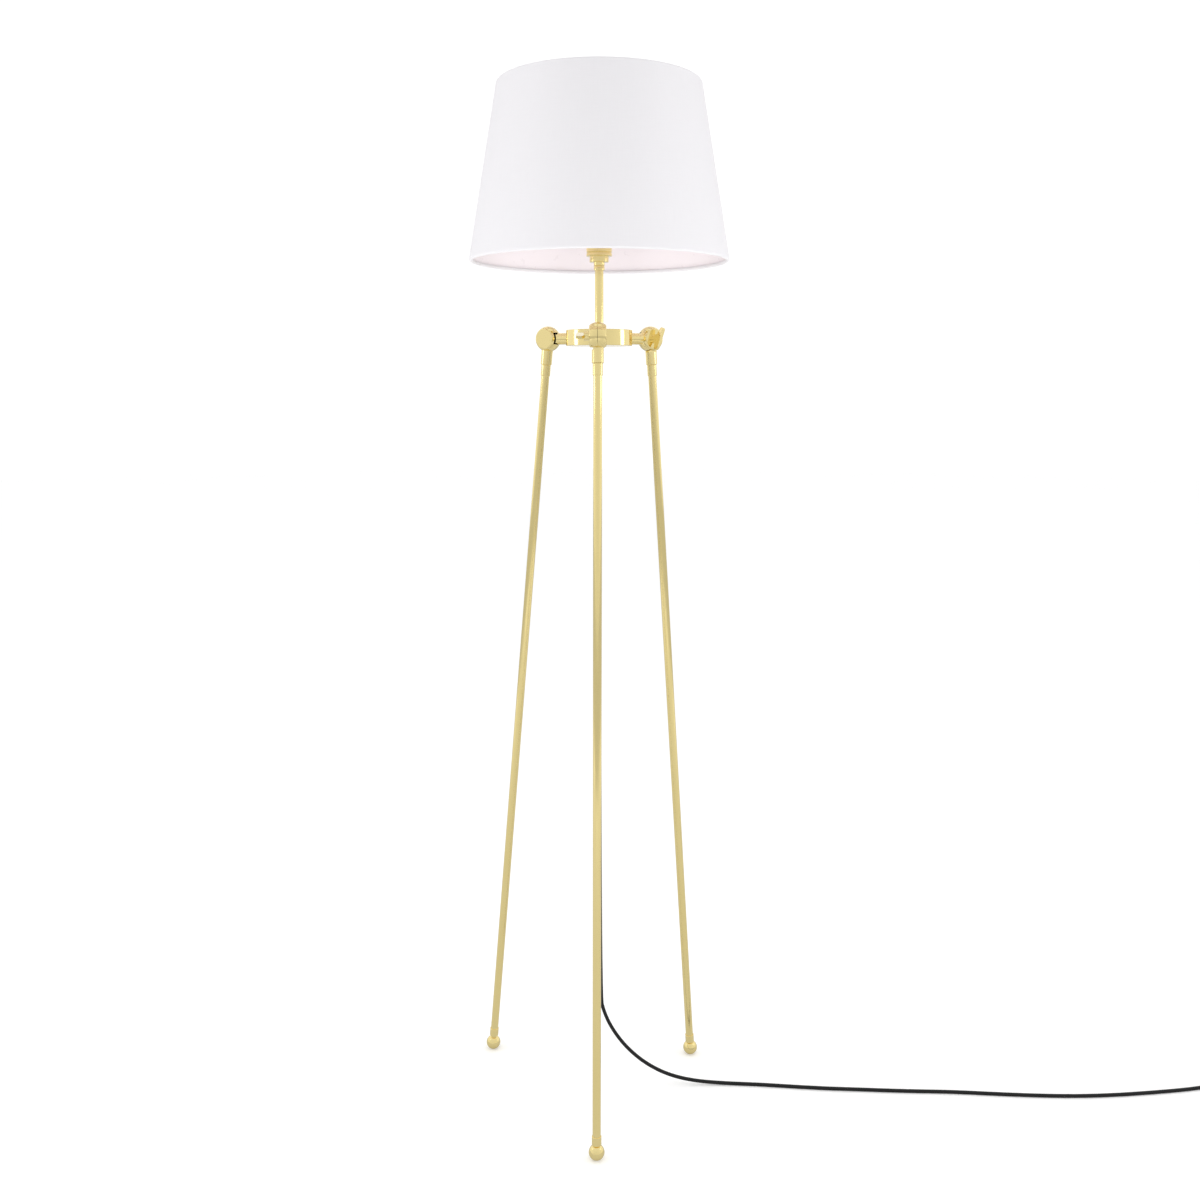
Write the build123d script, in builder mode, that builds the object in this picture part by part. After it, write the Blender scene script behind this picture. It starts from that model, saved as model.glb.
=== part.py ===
from build123d import *
from math import asin, atan, cos, degrees, pi, radians, sin, sqrt, tan
import os

os.makedirs("parts", exist_ok=True)

# Tripod floor lamp, millimetres. The origin is on the floor under the stem, +Z is up and the front leg
# stands towards -Y.

# Stance: where each leg points, how far its foot stands from the stem, and how its wing screw is turned.
hub_centre_height = 1222.0
arm_reach = 89.5
leg_azimuth = {"front": -91.2, "right": 30.0, "left": 150.0}
foot_reach = {"front": 189.1, "right": 183.9, "left": 216.1}
wing_turn = {"front": -10.0, "right": 70.0, "left": 6.0}

# Brass tube used for the stem and the legs.
tube_radius = 6.35
tube_wall = 1.2
tube_bore = tube_radius - tube_wall
clearance = 0.05

# Hub: a turned drum, open underneath and closed by a round cover.
hub_radius = 49.0
hub_height = 23.0
hub_bore = 38.0
hub_top_thickness = 5.0
hub_edge_round = 0.8
cover_radius = 44.5
cover_thickness = 3.0
cover_screw_circle = 41.2
cover_screw_radius = 1.5
cover_screw_head_radius = 2.8
cover_screw_length = 9.0
arm_seat = 48.2
arm_seat_clearance = 0.3
hub_bottom = hub_centre_height - hub_height / 2
hub_top = hub_centre_height + hub_height / 2
hub_ceiling = hub_top - hub_top_thickness
cover_top = hub_bottom + cover_thickness

# Knuckles: a ball with two flats, split across the pivot. Each half has a neck and a slot for the other.
ball_radius = 19.0
knuckle_half_thickness = 12.15
flat_edge_break = 0.5
half_gap = 0.2
core_radius = 11.0
core_clearance = 0.4
neck_radius = 8.6
hub_neck_length = arm_reach - arm_seat
leg_neck_length = 38.0
tongue_half_width = 6.2
tongue_depth = 6.3
slot_half_width = 6.5
slot_depth = 9.0
slot_sweep = 15.0
neck_start = ball_radius + core_clearance
washer_radius = 10.6
washer_thickness = 0.35
neck_thread_depth = 13.0
neck_thread_spare = 1.0
shank_clearance = 0.25

# Threads are drawn as plain cylinders.
m6_radius = 3.0
m8_radius = 4.0
m10_radius = 5.0
m10_bore = 3.5
locknut_radius = 8.5
locknut_height = 4.0
arm_bolt_head_radius = 5.0
arm_bolt_head_height = 5.0

# Wing screws.
wing_boss_radius = 6.7
wing_boss_length = 7.5
wing_width = 34.0
wing_depth = 11.0
wing_thickness = 4.0
wing_root_width = 11.0
wing_corner = 4.0
wing_flare = 2.0
wing_shank_depth = 10.0
wing_thread_bore = m6_radius + 0.04
wing_thread_depth = wing_shank_depth + 0.5

# Legs.
sleeve_radius = 7.3
sleeve_length = 17.0
spigot_length = 15.0
ferrule_radius = 7.4
ferrule_length = 14.0
ferrule_socket = 8.0
foot_ball_radius = 12.1
foot_flat_radius = 3.0
foot_neck_radius = 5.0
foot_seat = 11.5
foot_stud_length = 13.0

# Lampholder, from the top of the stem upwards.
stem_top = 1318.6
nipple_grip = 11.0
holder_collar_radius = 8.0
holder_collar_height = 11.4
holder_step_radius = 14.0
holder_step_height = 8.4
holder_cap_radius = 18.8
holder_cap_height = 19.6
holder_wall = 1.6
holder_floor = 3.0
skirt_radius = 18.3
skirt_height = 24.0
insulator_radius = 15.6
insulator_base = 8.0
insulator_gap = 1.0
insulator_sink = 5.0
contact_height = 2.0
inner_flex_sink = 3.0
contact_shell_radius = 13.9
contact_shell_wall = 0.4
shade_ring_radius = 26.0
shade_ring_height = 5.0
shade_ring_raise = 2.0

# Bulb: a 60 mm globe on a 27 mm screw cap.
bulb_cap_radius = 13.2
bulb_cap_height = 26.0
bulb_contact_radius = 3.5
bulb_contact_foot_radius = 5.0
bulb_contact_height = 3.0
bulb_cap_shoulder = 6.0
bulb_radius = 30.0
bulb_length = 106.0
bulb_neck_radius = 12.6
bulb_wall = 1.0

# Shade: a cone of fabric on a stiff liner, with a wire at each rim.
shade_bottom_radius = 190.0
shade_top_radius = 146.6
shade_bottom = 1330.0
shade_top = 1574.0
fabric_thickness = 0.6
liner_thickness = 0.6
rim_wire_radius = 1.5
rim_wire_sink = 1.0
shade_height = shade_top - shade_bottom
shade_taper = (shade_bottom_radius - shade_top_radius) / shade_height

# Shade carrier, spider and finial, which hold the shade from its top rim.
carrier_wire_radius = 1.6
carrier_ring_thickness = 1.5
carrier_ring_radius = 25.0
carrier_half_width = 62.0
carrier_shoulder = 40.0
carrier_crown = 90.0
carrier_crown_reach = 42.0
carrier_crown_drop = 14.0
carrier_bend = 10.0
carrier_lead_out = 9.0
carrier_weld_height = 0.2
wire_overlap = 3.0
carrier_plate_radius = 14.0
carrier_plate_thickness = 2.0
carrier_top = 1561.0
carrier_post_radius = 3.0
carrier_post_length = 13.0
spider_spoke_radius = 1.5
finial_radius = 7.0
finial_height = 17.0
finial_base_height = 5.0
finial_waist = (3.85, 8.0)
finial_knob = (4.9, 13.0)
finial_crown_radius = 3.15

# Cord: round flex. It hangs from the strain relief down the middle of the tripod, bends just above the
# floor and runs off to +X, through a foot switch and a small coil to the plug.
cord_radius = 3.0
cord_on_floor = cord_radius
arc_share = 0.45
relief_length = 21.0
relief_top_radius = 5.8
relief_tip_radius = 4.2
grip_flange_radius = 6.2
grip_flange_height = 3.0
grip_thread_length = 8.0
relief_bottom = hub_bottom - grip_flange_height - relief_length
cord_hang = [(0, 0, relief_bottom), (0, 0, 166)]
cord_drop = [(9, 0, 128), (26, 0, 94), (50, 0, 63), (80, 0, 37), (116, 0, 17.5), (160, -0.5, 6.5)]
cord_floor = [(213, -1.8), (268, -5.2), (322, -11), (376, -16), (431, -19), (508, -23.5)]
cord_floor += [(586, -25.5), (662, -32), (737, -36.5), (799, -37), (859, -33.5), (918, -27)]
cord_floor += [(968, -20.5), (1003, -14)]

# Foot switch in the cord, its long axis along X.
switch_centre = (1114.0, -8.0)
switch_length = 90.0
switch_width = 52.0
switch_base_height = 12.0
switch_cover_height = 12.0
switch_wall = 2.5
switch_nose_radius = 5.2
switch_nose_length = 8.0
switch_cord_height = 6.2
switch_button_radius = 14.0
switch_button_gap = 0.3
switch_button_rise = 5.0
switch_button_travel = 3.0
switch_block_size = (34.0, 24.0, 9.0)
switch_screw_offset = 32.0
switch_screw_radius = 1.5
switch_screw_head_radius = 3.0
switch_screw_spare = 1.0
switch_post_radius = 4.5
switch_foot_round = 1.5
switch_top_round = 4.0
switch_button_round = 2.0
switch_button_stop = 0.5
nose_tip = switch_length / 2 + switch_nose_length
switch_entry = (switch_centre[0] - nose_tip, switch_centre[1], switch_cord_height)
switch_exit = (switch_centre[0] + nose_tip, switch_centre[1], switch_cord_height)
cord_to_switch = [(1023, -10.5, 4.4), (1042.5, switch_centre[1], switch_cord_height)]

# Coil: neat turns, one cord's width apart, wound upwards and counter-clockwise seen from above.
coil_centre = (1214.0, 25.0)
coil_radius = 33.0
coil_turns = 3
coil_edge_round = 2.4
coil_height = coil_turns * 2 * cord_radius
coil_start = (coil_centre[0], coil_centre[1] - coil_radius, cord_on_floor)
coil_end = (coil_start[0], coil_start[1], cord_on_floor + coil_height)
tail_points = [(1179, -8, switch_cord_height), (1191, -8.6, 4.6), (1203, -8.5, cord_on_floor)]

# Plug: a flat contour plug with two round pins, lying on the floor beyond the coil.
plug_height = 26.0
plug_width = 37.0
plug_front_length = 21.0
plug_taper_length = 15.0
plug_back_size = 15.0
plug_corner = 9.0
plug_relief_length = 24.0
plug_relief_radius = 5.6
plug_pin_radius = 2.4
plug_pin_length = 19.0
plug_pin_spacing = 19.0
plug_shank_radius = 1.9
plug_shank_length = 9.0
plug_pin_chamfer = 0.6
plug_axis = (-5.0, plug_height / 2)
plug_tail = 1275.0
plug_back = plug_tail + plug_relief_length
plug_face = plug_back + plug_taper_length + plug_front_length
lead_points = [(1226, -7.8, 20.6), (1238, -7, 18.2), (1251, -5.6, 14.4), (1263, *plug_axis)]


def save(piece, name):
    """Label a finished piece and write it to its own file."""
    piece.label = name
    export_step(piece, f"parts/{name}.step")


def disc(plane, radius, height, mode=Mode.ADD):
    """A round bar on a plane, added to the part that is being made."""
    with BuildSketch(plane) as outline:
        Circle(radius)
    extrude(outline.sketch, amount=height, mode=mode)


def turned(points):
    """Turn a closed outline of (radius, height) points about the vertical axis."""
    with BuildSketch(Plane.XZ) as outline:
        with BuildLine():
            Polyline(*points, close=True)
        make_face()
    revolve(outline.sketch, axis=Axis.Z)


def cord_path(points):
    """Straight runs joined by arcs as large as the runs allow. Gives the path's points and radii."""
    spots = [Vector(*point) for point in points]
    radii = []
    for before, here, after in zip(spots, spots[1:], spots[2:]):
        turn = radians((here - before).get_angle(after - here))
        shorter = min((here - before).length, (after - here).length)
        radii.append(arc_share * shorter / tan(turn / 2))
    return spots, radii


def cord_tube(points, name):
    """Sweep the cord's round section along a route and write it."""
    spots, radii = cord_path(points)
    with BuildPart() as tube:
        with BuildLine() as route:
            FilletPolyline(*spots, radius=radii)
        with BuildSketch(Plane(origin=spots[0], z_dir=spots[1] - spots[0])):
            Circle(cord_radius)
        sweep()
    length = sum(edge.length for edge in route.line.edges())
    ideal = pi * cord_radius**2 * length
    smallest = min(radii)
    ratio = tube.part.volume / ideal
    print(f"{name}: length {length:.1f}, volume ratio {ratio:.4f}, radii from {smallest:.0f}")
    print("   radii", [round(radius) for radius in radii])
    save(tube.part, name)
    return length


# ---------------------------------------------------------------------------------------------- hub
arm_plane = {}
for side, azimuth in leg_azimuth.items():
    outward = Vector(cos(radians(azimuth)), sin(radians(azimuth)), 0)
    arm_plane[side] = Plane(origin=(0, 0, hub_centre_height), x_dir=(0, 0, 1), z_dir=outward)

with BuildPart() as hub_body:
    disc(Plane.XY.offset(hub_bottom), hub_radius, hub_height)
    fillet(hub_body.edges().filter_by(GeomType.CIRCLE), hub_edge_round)
    disc(Plane.XY.offset(hub_bottom), cover_radius + clearance, cover_thickness, Mode.SUBTRACT)
    disc(Plane.XY.offset(cover_top), hub_bore, hub_ceiling - cover_top, Mode.SUBTRACT)
    disc(Plane.XY.offset(hub_ceiling), m10_radius + clearance, hub_top_thickness, Mode.SUBTRACT)
    with BuildSketch(Plane.XY.offset(cover_top)):
        with PolarLocations(cover_screw_circle, 3, start_angle=90):
            Circle(cover_screw_radius)
    extrude(amount=cover_screw_length, mode=Mode.SUBTRACT)
    for side in leg_azimuth:
        disc(arm_plane[side], m6_radius + clearance, hub_radius, Mode.SUBTRACT)
        disc(arm_plane[side].offset(arm_seat), neck_radius + arm_seat_clearance, hub_radius, Mode.SUBTRACT)
save(hub_body.part, "hub_body")

with BuildPart() as hub_cover:
    disc(Plane.XY.offset(hub_bottom), cover_radius, cover_thickness)
    disc(Plane.XY.offset(hub_bottom), m10_radius + clearance, cover_thickness, Mode.SUBTRACT)
    with Locations(Plane(origin=(0, 0, hub_bottom), z_dir=(0, 0, -1))):
        with PolarLocations(cover_screw_circle, 3, start_angle=90):
            CounterSinkHole(cover_screw_radius + clearance, cover_screw_head_radius, cover_thickness)
save(hub_cover.part, "hub_cover")

with BuildPart() as cover_screws:
    head_depth = cover_screw_head_radius - cover_screw_radius
    with BuildSketch(Plane.XY.offset(hub_bottom)):
        with PolarLocations(cover_screw_circle, 3, start_angle=90):
            Circle(cover_screw_head_radius - clearance)
    extrude(amount=head_depth, taper=45)
    with BuildSketch(Plane.XY.offset(hub_bottom + head_depth / 2)):
        with PolarLocations(cover_screw_circle, 3, start_angle=90):
            Circle(cover_screw_radius - clearance)
    extrude(amount=cover_screw_length)
save(cover_screws.part, "cover_screws")

with BuildPart() as arm_bolts:
    bolt_seat = sqrt(hub_bore**2 - arm_bolt_head_radius**2) - clearance
    thread_end = arm_seat + neck_thread_depth - neck_thread_spare
    for side in leg_azimuth:
        head_plane = arm_plane[side].offset(bolt_seat - arm_bolt_head_height)
        disc(head_plane, arm_bolt_head_radius, arm_bolt_head_height)
        disc(arm_plane[side].offset(bolt_seat), m6_radius, thread_end - bolt_seat)
save(arm_bolts.part, "arm_bolts")

with BuildPart() as locknuts:
    for base in (cover_top, hub_ceiling - locknut_height):
        with BuildSketch(Plane.XY.offset(base)):
            RegularPolygon(locknut_radius, 6)
            Circle(m10_radius + clearance, mode=Mode.SUBTRACT)
        extrude(amount=locknut_height)
save(locknuts.part, "m10_locknuts")

with BuildPart() as stem_tube:
    with BuildSketch(Plane.XY.offset(hub_top)):
        Circle(tube_radius)
        Circle(tube_bore, mode=Mode.SUBTRACT)
    extrude(amount=stem_top - hub_top)
save(stem_tube.part, "stem_tube")

with BuildPart() as stem_nipples:
    lower = (hub_ceiling - locknut_height, hub_top + nipple_grip)
    upper = (stem_top - nipple_grip, stem_top + holder_collar_height + holder_floor)
    for base, top in (lower, upper):
        with BuildSketch(Plane.XY.offset(base)):
            Circle(m10_radius)
            Circle(m10_bore, mode=Mode.SUBTRACT)
        extrude(amount=top - base)
save(stem_nipples.part, "stem_nipples")

with BuildPart() as cord_grip:
    disc(Plane.XY.offset(hub_bottom - grip_flange_height), grip_flange_radius, grip_flange_height)
    disc(Plane.XY.offset(hub_bottom), m10_radius, grip_thread_length)
    bore_base = Plane.XY.offset(hub_bottom - grip_flange_height)
    disc(bore_base, cord_radius + clearance, grip_flange_height + grip_thread_length, Mode.SUBTRACT)
save(cord_grip.part, "cord_grip")

with BuildPart() as strain_relief:
    relief_top = relief_bottom + relief_length
    bore = cord_radius + clearance
    outline = [(bore, relief_bottom), (relief_tip_radius, relief_bottom), (relief_top_radius, relief_top)]
    turned(outline + [(bore, relief_top)])
save(strain_relief.part, "strain_relief")

flex_top = stem_top + holder_collar_height + holder_floor + insulator_base - inner_flex_sink
with BuildPart() as inner_flex:
    disc(Plane.XY.offset(relief_bottom), cord_radius, flex_top - relief_bottom)
save(inner_flex.part, "inner_flex")


# ------------------------------------------------------------------------------- knuckles and legs
def knuckle_half(frame, neck_length, pivot_bore, pivot_depth, thread_radius, face_gap, name):
    """Half of a split ball. The frame's z axis is the pivot, towards this half, and x runs along the neck."""
    across_neck = Plane(origin=frame.origin, x_dir=frame.z_dir, z_dir=frame.x_dir)
    section = Plane(origin=frame.origin, x_dir=frame.x_dir, z_dir=-frame.y_dir)
    flat_radius = sqrt(ball_radius**2 - knuckle_half_thickness**2)
    rim_radius = sqrt(ball_radius**2 - face_gap**2)
    break_height = knuckle_half_thickness - flat_edge_break
    break_radius = sqrt(ball_radius**2 - break_height**2)
    bow_height = (face_gap + break_height) / 2
    bow_radius = sqrt(ball_radius**2 - bow_height**2)
    with BuildPart() as half:
        disc(across_neck.offset(core_radius), neck_radius, neck_length - core_radius)
        chamfer(half.faces().sort_by(Axis(frame.origin, frame.x_dir))[-1].edges(), flat_edge_break)
        with BuildSketch(frame.offset(face_gap)):
            Rectangle(2 * neck_start, 4 * neck_radius)
        extrude(amount=-2 * neck_radius, mode=Mode.SUBTRACT)
        with BuildSketch(section):
            with BuildLine():
                Line((0, face_gap), (rim_radius, face_gap))
                ThreePointArc((rim_radius, face_gap), (bow_radius, bow_height), (break_radius, break_height))
                Line((break_radius, break_height), (flat_radius - flat_edge_break, knuckle_half_thickness))
                Line((flat_radius - flat_edge_break, knuckle_half_thickness), (0, knuckle_half_thickness))
                Line((0, knuckle_half_thickness), (0, face_gap))
            make_face()
        revolve(axis=Axis(frame.origin, frame.z_dir))
        with BuildSketch(across_neck):
            with Locations((-tongue_depth / 2, 0)):
                Rectangle(tongue_depth + 2 * face_gap, 2 * tongue_half_width)
        extrude(amount=neck_start + 1)
        disc(frame.offset(face_gap), core_radius + core_clearance, -2 * tongue_depth, Mode.SUBTRACT)
        with BuildSketch(frame):
            for turn in (90, 90 + slot_sweep):
                with Locations(Location((0, 0), turn)):
                    with Locations((ball_radius, 0)):
                        Rectangle(2 * ball_radius, 2 * slot_half_width)
            Circle(core_radius, mode=Mode.SUBTRACT)
        extrude(amount=slot_depth, mode=Mode.SUBTRACT)
        disc(frame, pivot_bore, pivot_depth, Mode.SUBTRACT)
        disc(across_neck.offset(neck_length), thread_radius, -neck_thread_depth, Mode.SUBTRACT)
    save(half.part, name)


def leg_frame(side):
    """The knuckle's centre, the outward and sideways directions, the leg's direction and its length."""
    azimuth = radians(leg_azimuth[side])
    outward = Vector(cos(azimuth), sin(azimuth), 0)
    sideways = Vector(-sin(azimuth), cos(azimuth), 0)
    pivot = outward * arm_reach + Vector(0, 0, hub_centre_height)
    foot_height = sqrt(foot_ball_radius**2 - foot_flat_radius**2)
    foot = outward * foot_reach[side] + Vector(0, 0, foot_height)
    return pivot, outward, sideways, (foot - pivot).normalized(), (foot - pivot).length


shortest_leg = min(leg_frame(side)[4] for side in leg_azimuth)
ferrule_bottom = shortest_leg - foot_seat
ferrule_top = ferrule_bottom - ferrule_length
sleeve_bottom = leg_neck_length + sleeve_length

for side in leg_azimuth:
    pivot, outward, sideways, along, leg_length = leg_frame(side)
    splay = degrees(asin(along.dot(outward)))
    down_leg = Plane(origin=pivot, x_dir=sideways, z_dir=along)
    hub_half_frame = Plane(origin=pivot, x_dir=-outward, z_dir=-sideways)
    leg_half_frame = Plane(origin=pivot, x_dir=along, z_dir=sideways)

    shank_bore = m6_radius + shank_clearance
    hub_thread = m6_radius + clearance
    knuckle_half(
        hub_half_frame, hub_neck_length, shank_bore, knuckle_half_thickness,
        hub_thread, half_gap + clearance, f"knuckle_hub_{side}",
    )
    knuckle_half(
        leg_half_frame, leg_neck_length, wing_thread_bore, wing_thread_depth,
        m8_radius + clearance, half_gap, f"knuckle_leg_{side}",
    )

    with BuildPart() as pivot_washer:
        with BuildSketch(hub_half_frame.offset(-half_gap)):
            Circle(washer_radius)
            Circle(shank_bore, mode=Mode.SUBTRACT)
        extrude(amount=washer_thickness)
    save(pivot_washer.part, f"pivot_washer_{side}")

    with BuildPart() as wing_screw:
        seat = hub_half_frame.offset(knuckle_half_thickness + clearance)
        disc(seat, m6_radius, -(knuckle_half_thickness + wing_shank_depth))
        disc(seat, wing_boss_radius, wing_boss_length)
        turn = radians(wing_turn[side])
        span = seat.x_dir * cos(turn) + seat.y_dir * sin(turn)
        paddle_plane = Plane(origin=seat.origin, x_dir=span, z_dir=span.cross(seat.z_dir))
        with BuildSketch(paddle_plane):
            with BuildLine():
                paddle_root = wing_boss_length - wing_flare
                paddle_low = wing_boss_length + wing_flare
                paddle_top = wing_boss_length + wing_depth
                Polyline(
                    (-wing_root_width / 2, paddle_root),
                    (wing_root_width / 2, paddle_root),
                    (wing_width / 2, paddle_low),
                    (wing_width / 2, paddle_top),
                    (-wing_width / 2, paddle_top),
                    (-wing_width / 2, paddle_low),
                    close=True,
                )
            make_face()
            corners = vertices()
            tips = [spot for spot in corners if abs((spot.center() - seat.origin).dot(span)) > wing_root_width]
            fillet(tips, wing_corner)
        extrude(amount=wing_thickness / 2, both=True)
    save(wing_screw.part, f"wing_screw_{side}")

    with BuildPart() as leg_sleeve:
        disc(down_leg.offset(leg_neck_length), sleeve_radius, sleeve_length)
        end_faces = leg_sleeve.faces().filter_by(GeomType.PLANE)
        chamfer(end_faces.edges(), flat_edge_break)
        disc(down_leg.offset(leg_neck_length), m8_radius, neck_thread_spare - neck_thread_depth)
        disc(down_leg.offset(sleeve_bottom), tube_bore - clearance, spigot_length)
    save(leg_sleeve.part, f"leg_sleeve_{side}")

    with BuildPart() as leg_tube:
        with BuildSketch(down_leg.offset(sleeve_bottom)):
            Circle(tube_radius)
            Circle(tube_bore, mode=Mode.SUBTRACT)
        extrude(amount=ferrule_top + ferrule_socket - sleeve_bottom)
    save(leg_tube.part, f"leg_tube_{side}")

    with BuildPart() as leg_ferrule:
        disc(down_leg.offset(ferrule_top), ferrule_radius, ferrule_length)
        end_faces = leg_ferrule.faces().filter_by(GeomType.PLANE)
        chamfer(end_faces.edges(), flat_edge_break)
        disc(down_leg.offset(ferrule_top), tube_radius + clearance, ferrule_socket, Mode.SUBTRACT)
        disc(down_leg.offset(ferrule_top), m8_radius + clearance, ferrule_length, Mode.SUBTRACT)
    save(leg_ferrule.part, f"leg_ferrule_{side}")

    with BuildPart() as ball_foot:
        disc(down_leg.offset(ferrule_bottom), foot_neck_radius, leg_length - ferrule_bottom)
        disc(down_leg.offset(ferrule_bottom), m8_radius, -foot_stud_length)
        with Locations(pivot + along * leg_length):
            Sphere(foot_ball_radius)
        split(bisect_by=Plane.XY, keep=Keep.TOP)
    save(ball_foot.part, f"ball_foot_{side}")
    foot = pivot + along * leg_length
    print(f"leg {side}: splay {splay:.3f}, length {leg_length:.2f}, foot {foot.X:.2f} {foot.Y:.2f}")
    print(f"   pivot {pivot.X:.3f} {pivot.Y:.3f} {pivot.Z:.1f}, axis {-sideways.X:.5f} {-sideways.Y:.5f}")


# ---------------------------------------------------------------------------------------- lampholder
step_base = stem_top + holder_collar_height
cap_base = step_base + holder_step_height
skirt_base = cap_base + holder_cap_height
insulator_bottom = cap_base + holder_wall + insulator_gap
contact_floor = insulator_bottom + insulator_base

with BuildPart() as holder_cap:
    turned([
        (m10_radius + clearance, stem_top),
        (holder_collar_radius, stem_top),
        (holder_collar_radius, step_base),
        (holder_step_radius, step_base),
        (holder_step_radius, cap_base),
        (holder_cap_radius, cap_base),
        (holder_cap_radius, skirt_base),
        (holder_cap_radius - holder_wall, skirt_base),
        (holder_cap_radius - holder_wall, cap_base + holder_wall),
        (holder_step_radius - holder_wall, cap_base + holder_wall),
        (holder_step_radius - holder_wall, step_base + holder_floor),
        (m10_radius + clearance, step_base + holder_floor),
    ])
    rims = holder_cap.edges().filter_by(GeomType.CIRCLE)
    outer_rims = [edge for edge in rims if edge.radius in (holder_cap_radius, holder_step_radius)]
    fillet(outer_rims, hub_edge_round)
save(holder_cap.part, "holder_cap")

with BuildPart() as holder_skirt:
    with BuildSketch(Plane.XY.offset(skirt_base)):
        Circle(skirt_radius)
        Circle(insulator_radius + clearance, mode=Mode.SUBTRACT)
    extrude(amount=skirt_height)
save(holder_skirt.part, "holder_skirt")

insulator_top = skirt_base + skirt_height - insulator_sink
with BuildPart() as holder_insulator:
    disc(Plane.XY.offset(insulator_bottom), insulator_radius, insulator_top - insulator_bottom)
    socket_depth = insulator_top - contact_floor
    disc(Plane.XY.offset(contact_floor), contact_shell_radius + clearance, socket_depth, Mode.SUBTRACT)
    disc(Plane.XY.offset(insulator_bottom), cord_radius + clearance, insulator_base, Mode.SUBTRACT)
save(holder_insulator.part, "holder_insulator")

bulb_base = contact_floor + contact_height
with BuildPart() as holder_contacts:
    disc(Plane.XY.offset(contact_floor), bulb_contact_radius, contact_height)
    with BuildSketch(Plane.XY.offset(contact_floor + contact_height)):
        Circle(contact_shell_radius)
        Circle(contact_shell_radius - contact_shell_wall, mode=Mode.SUBTRACT)
    extrude(amount=bulb_cap_height)
save(holder_contacts.part, "holder_contacts")

lower_ring = skirt_base + shade_ring_raise
carrier_base = lower_ring + shade_ring_height
upper_ring = carrier_base + carrier_ring_thickness
with BuildPart() as shade_rings:
    for base in (lower_ring, upper_ring):
        with BuildSketch(Plane.XY.offset(base)):
            Circle(shade_ring_radius)
            Circle(skirt_radius + clearance, mode=Mode.SUBTRACT)
        extrude(amount=shade_ring_height)
save(shade_rings.part, "shade_rings")

# --------------------------------------------------------------------------------------------- bulb
bulb_cap_top = bulb_base + bulb_cap_height
bulb_top = bulb_base + bulb_length
globe_centre = bulb_top - bulb_radius

with BuildPart() as bulb_cap:
    turned([
        (0, bulb_base),
        (bulb_contact_radius, bulb_base),
        (bulb_contact_foot_radius, bulb_base + bulb_contact_height),
        (bulb_cap_radius, bulb_base + bulb_cap_shoulder),
        (bulb_cap_radius, bulb_cap_top),
        (0, bulb_cap_top),
    ])
save(bulb_cap.part, "bulb_cap")


def globe_outline(inset):
    """The bulb's outline on one side of its axis, set in by the glass's thickness."""
    neck = (bulb_neck_radius - inset, bulb_cap_top)
    waist = (bulb_radius - inset, globe_centre)
    crown = (0, bulb_top - inset)
    slope = sin(radians(45)) * (bulb_radius - inset)
    Line((0, bulb_cap_top), neck)
    Spline(neck, waist, tangents=[(0.35, 1), (0, 1)])
    ThreePointArc(waist, (slope, globe_centre + slope), crown)
    Line(crown, (0, bulb_cap_top))


with BuildPart() as bulb_globe:
    with BuildSketch(Plane.XZ):
        with BuildLine():
            globe_outline(0)
        make_face()
        with BuildLine():
            globe_outline(bulb_wall)
        make_face(mode=Mode.SUBTRACT)
    revolve(axis=Axis.Z)
save(bulb_globe.part, "bulb_globe")


# -------------------------------------------------------------------------------------------- shade
def shade_radius(height, inset):
    """The shade's radius at a height, set in from its outer face."""
    return shade_bottom_radius - (height - shade_bottom) * shade_taper - inset


def shade_layer(inset, thickness, name):
    """One layer of the shade's wall, from rim to rim."""
    with BuildPart() as layer:
        turned([
            (shade_radius(shade_bottom, inset), shade_bottom),
            (shade_radius(shade_top, inset), shade_top),
            (shade_radius(shade_top, inset + thickness), shade_top),
            (shade_radius(shade_bottom, inset + thickness), shade_bottom),
        ])
    save(layer.part, name)


shade_layer(0, fabric_thickness, "shade_fabric")
shade_layer(fabric_thickness, liner_thickness, "shade_liner")

wall_thickness = fabric_thickness + liner_thickness
wire_inset = wall_thickness + rim_wire_radius / cos(atan(shade_taper)) + clearance
top_wire_height = shade_top - rim_wire_radius - rim_wire_sink
bottom_wire_height = shade_bottom + rim_wire_radius + rim_wire_sink
for name, height in (("shade_top_wire", top_wire_height), ("shade_bottom_wire", bottom_wire_height)):
    with BuildPart() as rim_wire:
        with BuildSketch(Plane.XZ):
            with Locations((shade_radius(height, wire_inset), height)):
                Circle(rim_wire_radius)
        revolve(axis=Axis.Z)
    save(rim_wire.part, name)

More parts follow.
